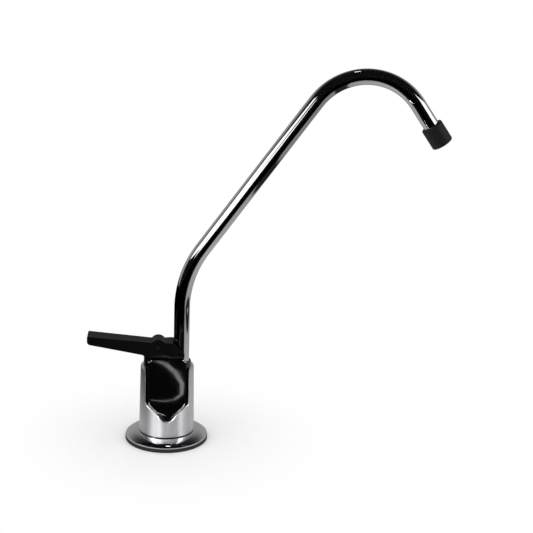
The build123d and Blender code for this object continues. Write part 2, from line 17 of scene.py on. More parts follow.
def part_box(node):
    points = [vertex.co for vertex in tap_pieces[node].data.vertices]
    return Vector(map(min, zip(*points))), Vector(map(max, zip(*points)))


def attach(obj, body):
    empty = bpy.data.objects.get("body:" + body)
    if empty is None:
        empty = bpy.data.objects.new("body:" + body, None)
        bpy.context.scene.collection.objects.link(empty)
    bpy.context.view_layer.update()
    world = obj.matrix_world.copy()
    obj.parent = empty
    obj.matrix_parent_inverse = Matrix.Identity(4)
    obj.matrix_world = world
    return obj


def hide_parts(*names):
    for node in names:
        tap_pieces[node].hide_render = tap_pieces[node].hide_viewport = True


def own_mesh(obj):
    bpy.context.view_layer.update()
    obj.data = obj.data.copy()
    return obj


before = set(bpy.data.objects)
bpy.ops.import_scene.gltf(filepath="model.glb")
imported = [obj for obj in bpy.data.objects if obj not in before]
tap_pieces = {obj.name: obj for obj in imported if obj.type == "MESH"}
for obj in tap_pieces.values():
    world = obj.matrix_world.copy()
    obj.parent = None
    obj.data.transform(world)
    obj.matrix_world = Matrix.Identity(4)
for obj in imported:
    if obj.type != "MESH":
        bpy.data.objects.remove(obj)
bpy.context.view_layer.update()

print("CAD pieces:", len(tap_pieces))

# %% [markdown]
# ## Data and objects
#
# Blender keeps a shape, a lamp or a camera apart from the object that places it in the scene. Two helpers
# save writing that out each time: one puts new data into the scene, the other turns a draft made with the
# bmesh module into a mesh.

# %% Helpers for objects
def add_object(name, data):
    """An object that places a mesh, a curve, a lamp or a camera in the scene."""
    placed = bpy.data.objects.new(name, data)
    bpy.context.collection.objects.link(placed)
    return placed


def finished_mesh(name, draft):
    """The mesh of a bmesh draft, which is freed."""
    mesh = bpy.data.meshes.new(name)
    draft.to_mesh(mesh)
    draft.free()
    return mesh


# %% [markdown]
# ## How a finish is made
#
# Every finish here is one Principled shader with a little noise in it. Real surfaces are never perfectly
# even: polished metal has faint waves, moulded plastic has a fine grain and rubber is slightly mottled.
# Image textures could show that too, but noise needs no files and stays sharp close up. The helpers spread
# the roughness or the colour by the noise, raise the surface by a hair and soften sharp edges.

# %% Helpers for finishes
roughness_noise = (0.3, 0.7)  # noise at these values gives the lowest and the highest roughness
colour_noise = (0.35, 0.65)  # noise at these values gives the darkest and the lightest colour


def new_finish(name, colour, metallic=0, roughness=0.5, specular=0.5):
    """A material and its Principled shader, even all over until the other helpers vary it."""
    finish = bpy.data.materials.new(name)
    finish.use_nodes = True
    shader = finish.node_tree.nodes["Principled BSDF"]
    shader.inputs["Base Color"].default_value = (*colour, 1)
    shader.inputs["Metallic"].default_value = metallic
    shader.inputs["Roughness"].default_value = roughness
    shader.inputs["Specular IOR Level"].default_value = specular
    return finish, shader


def noise(finish, per_metre, finer=(1, 1, 1), detail=4):
    """Noise fixed to the piece, with so many waves per metre, and finer along some axes than along others."""
    tree = finish.node_tree
    place = tree.nodes.new("ShaderNodeTexCoord")
    mapping = tree.nodes.new("ShaderNodeMapping")
    mapping.inputs["Scale"].default_value = finer
    texture = tree.nodes.new("ShaderNodeTexNoise")
    texture.inputs["Scale"].default_value = per_metre
    texture.inputs["Detail"].default_value = detail
    tree.links.new(place.outputs["Object"], mapping.inputs["Vector"])
    tree.links.new(mapping.outputs["Vector"], texture.inputs["Vector"])
    return texture.outputs["Fac"]


def vary_roughness(finish, shader, fac, low, high):
    """Spreads the roughness between two values by the noise."""
    spread = finish.node_tree.nodes.new("ShaderNodeMapRange")
    spread.inputs["From Min"].default_value, spread.inputs["From Max"].default_value = roughness_noise
    spread.inputs["To Min"].default_value = low
    spread.inputs["To Max"].default_value = high
    finish.node_tree.links.new(fac, spread.inputs["Value"])
    finish.node_tree.links.new(spread.outputs["Result"], shader.inputs["Roughness"])


def vary_colour(finish, shader, fac, dark, light):
    """Spreads the colour between two close shades by the noise."""
    spread = finish.node_tree.nodes.new("ShaderNodeValToRGB")
    for stop, position, shade in zip(spread.color_ramp.elements, colour_noise, (dark, light)):
        stop.position = position
        stop.color = (*shade, 1)
    finish.node_tree.links.new(fac, spread.inputs["Fac"])
    finish.node_tree.links.new(spread.outputs["Color"], shader.inputs["Base Color"])


def raise_surface(finish, shader, fac, height):
    """Bumps the surface by up to height metres."""
    bump = finish.node_tree.nodes.new("ShaderNodeBump")
    bump.inputs["Distance"].default_value = height
    finish.node_tree.links.new(fac, bump.inputs["Height"])
    finish.node_tree.links.new(bump.outputs["Normal"], shader.inputs["Normal"])


def soften_edges(finish, shader, radius):
    """Lets sharp edges catch the light as if they were rounded by radius metres, under any bumps."""
    edge = finish.node_tree.nodes.new("ShaderNodeBevel")
    edge.samples = 6
    edge.inputs["Radius"].default_value = radius
    normal = shader.inputs["Normal"]
    if normal.is_linked:
        normal = normal.links[0].from_node.inputs["Normal"]
    finish.node_tree.links.new(edge.outputs["Normal"], normal)


# %% [markdown]
# ## Metals
#
# The tube and the flange are polished chrome, a nearly perfect mirror. The sleeve is satin: it was brushed
# round on a lathe, so its scratches run round it and its highlights smear up and down. Modelled scratches
# would be far too many, so the shader's anisotropy smears the highlights instead. The hidden fittings are
# plain brass and steel.

# %% Metal finishes
polished_chrome, shader = new_finish("polished_chrome", (0.83, 0.83, 0.85), metallic=1)
vary_roughness(polished_chrome, shader, noise(polished_chrome, per_metre=45), low=0.03, high=0.06)
raise_surface(polished_chrome, shader, noise(polished_chrome, per_metre=40, detail=1), height=0.000005)

satin_metal, shader = new_finish("satin_metal", (0.86, 0.86, 0.88), metallic=1)
shader.inputs["Anisotropic"].default_value = 0.8
shader.inputs["Anisotropic Rotation"].default_value = 0.25
turned_lines = noise(satin_metal, per_metre=260, finer=(0.5, 0.5, 14))
vary_roughness(satin_metal, shader, turned_lines, low=0.33, high=0.42)
soften_edges(satin_metal, shader, radius=0.0004)

rolled_edge, shader = new_finish("rolled_edge", (0.88, 0.88, 0.9), metallic=1)
vary_roughness(rolled_edge, shader, noise(rolled_edge, per_metre=500), low=0.16, high=0.26)

machined_brass, shader = new_finish("machined_brass", (0.72, 0.53, 0.25), metallic=1)
dull_lines = noise(machined_brass, per_metre=300, finer=(1, 1, 6))
tool_marks = noise(machined_brass, per_metre=900, finer=(0.3, 0.3, 5))
vary_roughness(machined_brass, shader, dull_lines, low=0.2, high=0.34)
raise_surface(machined_brass, shader, tool_marks, height=0.00001)

plain_steel, shader = new_finish("plain_steel", (0.56, 0.56, 0.55), metallic=1)
vary_roughness(plain_steel, shader, noise(plain_steel, per_metre=400), low=0.26, high=0.42)

dark_pin, shader = new_finish("dark_pin", (0.05, 0.05, 0.055), metallic=1)
vary_roughness(dark_pin, shader, noise(dark_pin, per_metre=900), low=0.24, high=0.38)
print("metals made")

# %% [markdown]
# ## Plastics and rubber
#
# The valve body is polished black plastic, as glossy as a piano key. The lever and the nozzle cap are matte
# with a fine spark-eroded grain. The washer under the flange is soft black rubber. All are nearly black, so
# what tells them apart is how they shine: the roughness, the strength of the reflection and the grain.

# %% Plastic and rubber finishes
black_gloss, shader = new_finish("black_gloss", (0.0015, 0.0015, 0.0016), specular=0.36)
vary_roughness(black_gloss, shader, noise(black_gloss, per_metre=120), low=0.035, high=0.07)
raise_surface(black_gloss, shader, noise(black_gloss, per_metre=90, detail=1), height=0.000008)
soften_edges(black_gloss, shader, radius=0.0003)

lever_plastic, shader = new_finish("lever_plastic", (0.003, 0.003, 0.0032), specular=0.11)
lever_grain = noise(lever_plastic, per_metre=2600)
vary_roughness(lever_plastic, shader, lever_grain, low=0.31, high=0.42)
raise_surface(lever_plastic, shader, lever_grain, height=0.00003)
soften_edges(lever_plastic, shader, radius=0.0003)

bonnet_plastic, shader = new_finish("bonnet_plastic", (0.004, 0.004, 0.0043), specular=0.2)
vary_roughness(bonnet_plastic, shader, noise(bonnet_plastic, per_metre=800), low=0.2, high=0.32)

cap_plastic, shader = new_finish("cap_plastic", (0.008, 0.008, 0.0085))
cap_grain = noise(cap_plastic, per_metre=3000)
vary_roughness(cap_plastic, shader, cap_grain, low=0.45, high=0.58)
raise_surface(cap_plastic, shader, cap_grain, height=0.00003)

black_rubber, shader = new_finish("black_rubber", (0.02, 0.02, 0.02))
mottle = noise(black_rubber, per_metre=700)
vary_roughness(black_rubber, shader, mottle, low=0.62, high=0.8)
vary_colour(black_rubber, shader, mottle, dark=(0.014, 0.014, 0.014), light=(0.028, 0.028, 0.028))
print("plastics made")

# %% [markdown]
# ## One finish for each piece
#
# Each piece of the real tap is made of one material, so each CAD piece gets one finish in all its slots. A
# table from finish to pieces is easy to read beside a parts list. The tube, the flange, the sleeve, the
# shank and the spring aren't in it, because finer skins take their place further down.

# %% Give each CAD piece its finish
finishes = {
    machined_brass: ["mounting_nut", "valve_stem", "spout_stub"],
    plain_steel: ["lock_washer", "spring_washer", "spout_retaining_ring"],
    dark_pin: ["pivot_pin"],
    black_gloss: ["valve_body"],
    bonnet_plastic: ["stem_bonnet"],
    lever_plastic: ["lever"],
    cap_plastic: ["nozzle_cap", "clamping_washer"],
    black_rubber: [
        "base_washer", "seat_washer", "bonnet_o_ring", "stem_o_ring", "shank_o_ring", "spout_o_rings",
    ],
}
for finish, names in finishes.items():
    for name in names:
        for slot in tap_pieces[name].material_slots:
            slot.material = finish
print("finished:", sum(len(names) for names in finishes.values()))

# %% [markdown]
# ## Smooth skins
#
# A CAD export is a mesh of small flats, and polished metal shows every one of them. A Subdivision modifier
# would smooth them but also round off the edges and change the sizes. So the metal pieces that show get a
# finer skin, made ring by ring to the CAD's own sizes. Each skin rides on the body of the piece that it
# stands for.

# %% Helpers for skins
def ring_skin(name, rings, finish, sharp_deg=30):
    """A closed skin through rings of points. The last ring joins the first."""
    draft = bmesh.new()
    rows = [[draft.verts.new(point) for point in ring] for ring in rings]
    around = len(rings[0])
    for row, next_row in zip(rows, rows[1:] + rows[:1]):
        for i in range(around):
            j = (i + 1) % around
            draft.faces.new((row[i], row[j], next_row[j], next_row[i]))
    bmesh.ops.recalc_face_normals(draft, faces=draft.faces)
    mesh = finished_mesh(name, draft)
    for face in mesh.polygons:
        face.use_smooth = True
    mesh.set_sharp_from_angle(angle=math.radians(sharp_deg))
    mesh.materials.append(finish)
    return add_object(name, mesh)


def stand_in(skin, node, body):
    """The skin shows in place of the CAD node and rides on its body."""
    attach(skin, body)
    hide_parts(node)


def spread_points(start, end, steps):
    """Points from start towards end in equal steps, without end itself."""
    return [tuple(a + (b - a) * i / steps for a, b in zip(start, end)) for i in range(steps)]


# %% [markdown]
# ## The spout tube
#
# The real spout is one straight tube bent twice round a die. A curve with a round bevel would give its
# outside, but not its wall. So rings of points follow the same runs and bends as the CAD, up the outside
# and back down the bore. Each place on the path knows the tube's turn from upright, which sets its ring
# square to the tube.

# %% The path of the tube
tube_radius, tube_wall, tube_segments = 0.0047625, 0.0009, 72
spout_x, tube_foot, knee_z = 0.0085, 0.035, 0.1048
knee_radius, arch_radius, arch_top = 0.064, 0.0372, 0.2267
lean, last_run = math.radians(35.7), 0.0246
knee_start = knee_z - knee_radius * math.tan(lean / 2)
arch_centre_z = arch_top - arch_radius
arch_start_z = arch_centre_z + arch_radius * math.sin(lean)
arch_centre_x = spout_x + (arch_start_z - knee_z) * math.tan(lean) + arch_radius * math.cos(lean)


def bend(centre_x, centre_z, radius, first_turn, last_turn, steps):
    """Places (x, z, turn) along an arc that bends the tube from its first turn to its last."""
    places = []
    for i in range(steps + 1):
        turn = first_turn + (last_turn - first_turn) * i / steps
        places.append((centre_x - radius * math.cos(turn), centre_z + radius * math.sin(turn), turn))
    return places


foot = (spout_x, tube_foot, 0)
knee = bend(spout_x + knee_radius, knee_start, knee_radius, 0, lean, steps=48)
arch = bend(arch_centre_x, arch_centre_z, arch_radius, lean, math.pi - lean, steps=128)
arch_end_x, arch_end_z, end_turn = arch[-1]
tip = (arch_end_x + last_run * math.sin(lean), arch_end_z - last_run * math.cos(lean), end_turn)
upright_run = spread_points(foot, knee[0], steps=8)
leaning_run = spread_points(knee[-1], arch[0], steps=16)[1:]
end_run = spread_points(arch[-1], tip, steps=8)[1:]
path = [*upright_run, *knee, *leaning_run, *arch, *end_run, tip]
print("places along the tube:", len(path))

# %% The tube's skin
def tube_ring(x, z, turn, radius):
    """One ring of the tube, square to its path."""
    ring = []
    for i in range(tube_segments):
        angle = 2 * math.pi * i / tube_segments
        side, out = radius * math.sin(angle), radius * math.cos(angle)
        ring.append((x + out * math.cos(turn), side, z - out * math.sin(turn)))
    return ring


outside_rings = [tube_ring(x, z, turn, tube_radius) for x, z, turn in path]
bore_rings = [tube_ring(x, z, turn, tube_radius - tube_wall) for x, z, turn in reversed(path)]
tube_skin = ring_skin("tube_skin", outside_rings + bore_rings, polished_chrome)
stand_in(tube_skin, "spout_tube", "spout")
print("tube faces:", len(tube_skin.data.polygons))

# %% [markdown]
# ## The flange
#
# The flange is pressed from sheet: a flat crown, a flare that falls to the rim and a thin lip. Half of its
# section is drawn as corners, some of them rounded, and turned round the tap's axis. Chrome mirrors
# whatever its surface faces, so the flare bulges a little and turns down at its rim as the real one does.

# %% Flange
def rounded(corners, steps=6):
    """The outline through (radius, height, round) corners, each corner rounded by its own radius."""
    outline = []
    for i, (r, z, size) in enumerate(corners):
        if not size:
            outline.append((r, z))
            continue
        corner = Vector((r, z))
        before = (Vector(corners[i - 1][:2]) - corner).normalized()
        after = (Vector(corners[(i + 1) % len(corners)][:2]) - corner).normalized()
        # The arc's centre lies on the line that halves the corner, and the arc touches both of its sides
        half = before.angle(after) / 2
        middle = corner + (before + after).normalized() * size / math.sin(half)
        start = corner + before * size / math.tan(half) - middle
        sweep = start.angle_signed(corner + after * size / math.tan(half) - middle)
        for step in range(steps + 1):
            angle = -sweep * step / steps
            cosine, sine = math.cos(angle), math.sin(angle)
            spoke = Vector((start.x * cosine - start.y * sine, start.x * sine + start.y * cosine))
            outline.append(tuple(middle + spoke))
    return outline


def turned_rings(outline, segments):
    """Rings for an outline of (radius, height) points turned about the upright axis through the origin."""
    angles = [2 * math.pi * i / segments for i in range(segments)]
    return [[(r * math.cos(a), r * math.sin(a), z) for a in angles] for r, z in outline]


washer_top, lip_top, crown_top = 0.0022, 0.0029, 0.0056
flange_radius, crown_radius, flange_wall, hole_radius = 0.0252, 0.0176, 0.001, 0.0062
crown_round, lip_round, foot_round = 0.0003, 0.00025, 0.0001
flare_bulge, flare_steps, turned_segments = 0.0005, 16, 192
flare = []
for i, (r, z) in enumerate(spread_points((crown_radius, crown_top), (flange_radius, lip_top), flare_steps)):
    share = i / flare_steps
    bulge = flare_bulge * 4 * share * (1 - share)  # a parabola, 0 at both ends and full in the middle
    flare.append((r + bulge, z + bulge, 0))
corners = [
    (hole_radius, crown_top, 0),
    (crown_radius, crown_top, crown_round),
    *flare[1:],
    (flange_radius, lip_top, lip_round),
    (flange_radius, washer_top, foot_round),
    (flange_radius - flange_wall, washer_top, 0),
    (crown_radius - flange_wall, crown_top - flange_wall, 0),
    (hole_radius, crown_top - flange_wall, 0),
]
flange_rings = turned_rings(rounded(corners), turned_segments)
flange_skin = ring_skin("flange_skin", flange_rings, polished_chrome, sharp_deg=40)
stand_in(flange_skin, "escutcheon", "tap_body")
print("flange faces:", len(flange_skin.data.polygons))

# %% [markdown]
# ## The outline of a window
#
# The sleeve has a window on each side that shows the black valve body. Each window drops straight down,
# turns in at a shoulder and ends in an ogee, the S-shaped curve of a pointed arch turned upside down. A
# short curve rounds the shoulder, and a Bezier curve draws the ogee, because two pulls are enough to give
# it both of its bends.

# %% Window outline
window_half, shoulder_z, shoulder_round, window_tip_z = 0.0133, 0.0257, 0.00083, 0.0156
ogee_half, ogee_z, ogee_pull, tip_pull = 0.0064, 0.0209, 0.0017, 0.0041


def window_outline(top, side_steps=8, shoulder_steps=6, ogee_steps=24):
    """Half of a window's outline as (x, z) points, from its top down to its tip."""
    corner, ogee_start = Vector((window_half, shoulder_z)), Vector((ogee_half, ogee_z))
    slope = (ogee_start - corner).normalized()
    above, below = corner + Vector((0, shoulder_round)), corner + slope * shoulder_round
    points = [Vector((window_half, top)).lerp(above, i / side_steps) for i in range(side_steps)]
    for i in range(shoulder_steps + 1):
        share = i / shoulder_steps
        points.append(above.lerp(corner, share).lerp(corner.lerp(below, share), share))
    pulls = [
        ogee_start,
        ogee_start + slope * ogee_pull,
        Vector((tip_pull, window_tip_z)),
        Vector((0, window_tip_z)),
    ]
    for i in range(ogee_steps + 1):
        t = i / ogee_steps
        weights = [(1 - t) ** 3, 3 * t * (1 - t) ** 2, 3 * t * t * (1 - t), t ** 3]
        points.append(sum((pull * weight for pull, weight in zip(pulls, weights)), Vector((0, 0))))
    return points


def both_sides(half):
    """The half outline with its mirror image, from top to top."""
    return [(-point.x, point.y) for point in half] + [(point.x, point.y) for point in reversed(half[:-1])]


# %% [markdown]
# ## The sleeve
#
# The sleeve is turned as a plain tube first. Then a Boolean modifier cuts both windows with one prism, as a
# press cuts through a tube from side to side. The modifier's result is kept as the mesh, and the prism is
# thrown away.

# %% Turn the sleeve
sleeve_bore, foot_radius, rim_radius, rim_round = 0.01455, 0.017, 0.0163, 0.0013
wall_steps = 24
low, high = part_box("body_sleeve")
foot_z, rim_z = low[2], high[2]
outer_wall = spread_points((foot_radius, foot_z, 0), (rim_radius, rim_z, 0), wall_steps)
inner_wall = spread_points((sleeve_bore, rim_z, 0), (sleeve_bore, foot_z, 0), wall_steps)
sleeve_corners = [*outer_wall, (rim_radius, rim_z, rim_round), *inner_wall, (sleeve_bore, foot_z, 0)]
sleeve_skin = ring_skin("sleeve_skin", turned_rings(rounded(sleeve_corners), turned_segments), satin_metal)
print("sleeve height, mm:", round((rim_z - foot_z) * 1000, 2))

# %% Cut its windows
prism_top = rim_z + 0.002
prism_half = foot_radius * 1.2
draft = bmesh.new()
loops = [
    [draft.verts.new((x, y, z)) for x, z in both_sides(window_outline(prism_top))]
    for y in (-prism_half, prism_half)
]
for loop in loops:
    draft.faces.new(loop)
for i in range(len(loops[0])):
    draft.faces.new((loops[0][i - 1], loops[0][i], loops[1][i], loops[1][i - 1]))
bmesh.ops.recalc_face_normals(draft, faces=draft.faces)
prism = add_object("window_prism", finished_mesh("window_prism", draft))
windows = sleeve_skin.modifiers.new("windows", "BOOLEAN")
windows.object = prism
windows.solver = "EXACT"
graph = bpy.context.evaluated_depsgraph_get()
cut_mesh = bpy.data.meshes.new_from_object(sleeve_skin.evaluated_get(graph))
sleeve_skin.modifiers.clear()
sleeve_skin.data = cut_mesh
bpy.data.objects.remove(prism)
cut_mesh.set_sharp_from_angle(angle=math.radians(30))
stand_in(sleeve_skin, "body_sleeve", "tap_body")
print("sleeve faces:", len(cut_mesh.polygons))

# %% [markdown]
# ## Polished window edges
#
# The press that cuts the windows leaves a bright rolled edge, which shows as a thin line of light. A Bevel
# modifier would round every edge of the cut alike, and its corners would pinch. A curve with a round bevel
# follows each window instead: down one side, round the shoulder, along the ogee to the tip and up again.

# %% Window edges
edge_radius, edge_inset = 0.0003, 0.0002
edge_top = rim_z - 0.0018


def on_sleeve(x, z, side):
    """The point of the sleeve's outside at x and z, a little under its surface."""
    share = (z - foot_z) / (rim_z - foot_z)
    radius = foot_radius + (rim_radius - foot_radius) * share - edge_inset
    return (x, side * math.sqrt(radius * radius - x * x), z)


def wire(name, points, radius, finish):
    """A round wire through the points, as a curve with a bevel."""
    curve = bpy.data.curves.new(name, "CURVE")
    curve.dimensions = "3D"
    curve.bevel_depth = radius
    curve.bevel_resolution = 3
    curve.use_fill_caps = True
    line = curve.splines.new("POLY")
    line.points.add(len(points) - 1)
    for knot, point in zip(line.points, points):
        knot.co = (*point, 1)
    curve.materials.append(finish)
    return add_object(name, curve)


window_edges = []
edge_outline = both_sides(window_outline(edge_top))
for name, side in (("front_window_edge", -1), ("back_window_edge", 1)):
    window_edge = wire(name, [on_sleeve(x, z, side) for x, z in edge_outline], edge_radius, rolled_edge)
    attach(window_edge, "tap_body")
    window_edges.append(window_edge)
print("points along each window:", len(edge_outline))

# %% [markdown]
# ## The screw thread
#
# The shank is a 7/16 inch pipe nipple with 24 threads to the inch. A Screw modifier could wind a tooth
# round it, but the ends of such a tooth stand free. Here the thread is part of the skin: each ring of the
# outside moves in and out as the helix passes, and the thread runs out smoothly at its top.

# %% Threaded shank
pitch = 0.0254 / 24
thread_depth = 0.00062
flank_slope, flank_start = 2.6, 0.8  # they leave a flat at each crest and in each groove
shank_radius, water_radius, socket_radius = 0.005556, 0.0023, 0.0033
shank_top, shank_foot, socket_depth, foot_bevel = 0.015, -0.052, 0.016, 0.0008
thread_top, runout_turns = -0.001, 2
shank_segments, rows_per_turn = 40, 8


def clamped(value):
    """The value kept between 0 and 1."""
    return max(0, min(1, value))


def thread_radius(height, share_round):
    """Radius of the threaded outside at a height, a share of the way round."""
    phase = (height / pitch - share_round) % 1
    crest = clamped(flank_slope * abs(phase - 0.5) * 2 - flank_start)
    runout = clamped((thread_top - height) / (runout_turns * pitch))
    above_bevel = clamped((height - shank_foot) / foot_bevel)
    return shank_radius - thread_depth * (1 - crest) * runout - foot_bevel * (1 - above_bevel) * crest


thread_turns = round((thread_top - shank_foot) / pitch)
rows = rows_per_turn * thread_turns
thread_rings = []
for i in range(rows + 1):
    height = shank_foot + (thread_top - shank_foot) * i / rows
    ring = []
    for k in range(shank_segments):
        angle = 2 * math.pi * k / shank_segments
        r = thread_radius(height, k / shank_segments)
        ring.append((r * math.cos(angle), r * math.sin(angle), height))
    thread_rings.append(ring)
core = [
    (shank_radius, shank_top),
    (water_radius, shank_top),
    (water_radius, shank_foot + socket_depth),
    (socket_radius, shank_foot + socket_depth),
    (socket_radius, shank_foot),
]
shank_rings = thread_rings + turned_rings(core, shank_segments)
shank_skin = ring_skin("shank_skin", shank_rings, machined_brass, sharp_deg=50)
stand_in(shank_skin, "threaded_shank", "tap_body")
print("thread turns:", thread_turns)

# %% [markdown]
# ## The valve spring
#
# The spring sits round the stem inside the valve body, and it shortens when the stem rises. When the stem
# rises the spring shortens, and a stiff CAD solid can't do that. Here a coil of wire takes the place of the
# CAD solid. The wire starts as a curve, like the window edges, and is kept as a mesh.

# %% Valve spring
spring_wire, spring_turns, steps_per_turn = 0.0008, 5, 32
low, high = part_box("valve_spring")
middle_x = (low[0] + high[0]) / 2
coil_radius = (high[0] - low[0] - spring_wire) / 2
coil_foot, coil_top = low[2] + spring_wire / 2, high[2] - spring_wire / 2
coil_steps = spring_turns * steps_per_turn
coil = []
for i in range(coil_steps + 1):
    angle = 2 * math.pi * i / steps_per_turn
    height = coil_foot + (coil_top - coil_foot) * i / coil_steps
    coil.append((middle_x + coil_radius * math.cos(angle), coil_radius * math.sin(angle), height))
coil_curve = wire("coil_curve", coil, spring_wire / 2, plain_steel)
spring_skin = add_object("spring_skin", bpy.data.meshes.new_from_object(coil_curve))
bpy.data.objects.remove(coil_curve)
stand_in(spring_skin, "valve_spring", "tap_body")
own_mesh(spring_skin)
print("spring length, mm:", round((high[2] - low[2]) * 1000, 2))

# %% [markdown]
# ## The studio
#
# Polished metal shows the room, so the room matters more than the lamps. The chrome of a tap like this
# tells what stands round it: a grey table, a dark room in front and overhead, a pale wall low down behind,
# and softboxes at the left, at the right, at the front and overhead. Each of them is built next. The floor
# and the room look one way to the camera and another way to a mirror, which takes a few nodes more than a
# plain colour.

# %% Helpers for shader graphs
white = (1, 1, 1, 1)


def add_node(tree, kind, **sockets):
    """A shader node with some of its sockets set."""
    node = tree.nodes.new(kind)
    for name, value in sockets.items():
        node.inputs[name.replace("_", " ")].default_value = value
    return node


def ramp(tree, value, start, end, low=0.0, high=1.0):
    """A smooth step from low to high as value runs from start to end."""
    step = add_node(tree, "ShaderNodeMapRange", From_Min=start, From_Max=end, To_Min=low, To_Max=high)
    step.interpolation_type = "SMOOTHSTEP"
    tree.links.new(value, step.inputs["Value"])
    return step.outputs["Result"]


def combine(tree, operation, first, second):
    """Two numbers put together by a Math node."""
    node = tree.nodes.new("ShaderNodeMath")
    node.operation = operation
    tree.links.new(first, node.inputs[0])
    tree.links.new(second, node.inputs[1])
    return node.outputs["Value"]


def blend_shaders(tree, share, first, second):
    """The first shader where share is 0 and the second where it is 1."""
    mix = tree.nodes.new("ShaderNodeMixShader")
    tree.links.new(share, mix.inputs["Fac"])
    tree.links.new(first, mix.inputs[1])
    tree.links.new(second, mix.inputs[2])
    return mix.outputs["Shader"]


# %% [markdown]
# ## The floor
#
# The camera sees a pale floor that takes the tap's soft shadow and fades to plain white further out, as if
# it had been cut out for a catalogue. Reflections see something else: a grey table with edges, and the end
# of another one a little to its right. A real table would need its own lamp and would spoil the white
# floor, so the floor's material glows grey in reflections only.

# %% Floor
floor_size, floor_colour, floor_roughness = 3, (0.95, 0.95, 0.95), 0.9
shadow_fade = (0.028, 0.115)  # the shaded floor turns white between these distances from the tap
table_fade = (0.04, 0.35)  # the table's grey changes between these distances
table_grey = (0.46, 0.26)  # near the tap and far from it
# Each edge of a table fades between two places, along Y for its front and along X for its sides
table_front, table_left, table_right = (-0.225, -0.19), (-0.10, -0.04), (0.212, 0.224)
next_table = (0.262, 0.276)
gap_level, next_level = 0.06, 0.8  # between the tables and on the next one, as shares of the table's grey
bpy.ops.mesh.primitive_plane_add(size=floor_size, location=(0, 0, 0))
floor = bpy.context.object
floor.name = "floor"
floor_paint, shader = new_finish("floor_paint", floor_colour, roughness=floor_roughness)
tree = floor_paint.node_tree
place = tree.nodes.new("ShaderNodeTexCoord")
light_path = tree.nodes.new("ShaderNodeLightPath")
distance_out = tree.nodes.new("ShaderNodeVectorMath")
distance_out.operation = "LENGTH"
tree.links.new(place.outputs["Object"], distance_out.inputs[0])
away = distance_out.outputs["Value"]
plain_white = add_node(tree, "ShaderNodeEmission", Color=white)
# Only the camera sees the white fade, and the tap is still lit by a pale floor
whiteness = combine(tree, "MULTIPLY", ramp(tree, away, *shadow_fade), light_path.outputs["Is Camera Ray"])
seen_floor = blend_shaders(tree, whiteness, shader.outputs["BSDF"], plain_white.outputs["Emission"])
print("floor painted")

# %% The tables that reflections see
axes = tree.nodes.new("ShaderNodeSeparateXYZ")
tree.links.new(place.outputs["Object"], axes.inputs["Vector"])
from_front = ramp(tree, axes.outputs["Y"], *table_front)
from_left = ramp(tree, axes.outputs["X"], *table_left)
first_table = ramp(tree, axes.outputs["X"], *table_right, 1.0, gap_level)
second_table = ramp(tree, axes.outputs["X"], *next_table, 0.0, next_level)
inside_edges = combine(tree, "MULTIPLY", from_front, from_left)
both_tables = combine(tree, "ADD", first_table, second_table)
grey = ramp(tree, away, *table_fade, *table_grey)
level = combine(tree, "MULTIPLY", combine(tree, "MULTIPLY", inside_edges, both_tables), grey)
table = add_node(tree, "ShaderNodeEmission", Color=white)
tree.links.new(level, table.inputs["Strength"])
surface = blend_shaders(tree, light_path.outputs["Is Glossy Ray"], seen_floor, table.outputs["Emission"])
tree.links.new(surface, tree.nodes["Material Output"].inputs["Surface"])
floor.data.materials.append(floor_paint)
print("floor nodes:", len(tree.nodes))

# %% [markdown]
# ## The room
#
# The world plays three parts here. It lights the tap evenly, it is the white backdrop that the camera sees,
# and in reflections it is a dark room with a pale wall behind the tap that gets darker towards the ceiling.
# A single grey world would leave the chrome flat, with none of the dark bands that make it look polished.

# %% Room
ambient, wall_grey, dark_grey = 0.95, 0.32, 0.004
wall_behind = (-0.1, 0.45)  # how far a direction points back where the wall begins and where it is full
wall_top = (0.2, 0.85)  # how far it points up where the wall begins to darken and where it is darkest
ceiling_share = 0.12  # what is left of the wall's grey overhead
room = bpy.data.worlds.new("room")
room.use_nodes = True
bpy.context.scene.world = room
tree = room.node_tree
fill = tree.nodes["Background"]
fill.inputs["Color"].default_value = white
fill.inputs["Strength"].default_value = ambient
backdrop = add_node(tree, "ShaderNodeBackground", Color=white, Strength=1.0)
reflected = add_node(tree, "ShaderNodeBackground", Color=white)
direction = tree.nodes.new("ShaderNodeTexCoord")
axes = tree.nodes.new("ShaderNodeSeparateXYZ")
tree.links.new(direction.outputs["Generated"], axes.inputs["Vector"])
behind = ramp(tree, axes.outputs["Y"], *wall_behind)
low_down = ramp(tree, axes.outputs["Z"], *wall_top, 1.0, ceiling_share)
wall = ramp(tree, combine(tree, "MULTIPLY", behind, low_down), 0, 1, dark_grey, wall_grey)
tree.links.new(wall, reflected.inputs["Strength"])
light_path = tree.nodes.new("ShaderNodeLightPath")
unseen = blend_shaders(
    tree, light_path.outputs["Is Glossy Ray"], fill.outputs["Background"], reflected.outputs["Background"]
)
seen = blend_shaders(tree, light_path.outputs["Is Camera Ray"], unseen, backdrop.outputs["Background"])
tree.links.new(seen, tree.nodes["World Output"].inputs["Surface"])
print("room nodes:", len(tree.nodes))

# %% [markdown]
# ## Lamps
#
# A softbox is an area lamp. It is placed by the direction in which it stands, in degrees round from
# straight behind the tap and degrees up, because that is what a reflection tells. Its size is given in
# degrees too. The bright lamps would show as harsh spots in the chrome, so light linking keeps each of them
# to the pieces that need it: some draw the soft bands of the satin sleeve, and two strips draw the white
# lines along the rounded edges of the black valve body.

# %% Helpers for lamps
lamp_distance = 1.3
lamp_target = Vector((0.04, 0, 0.13))


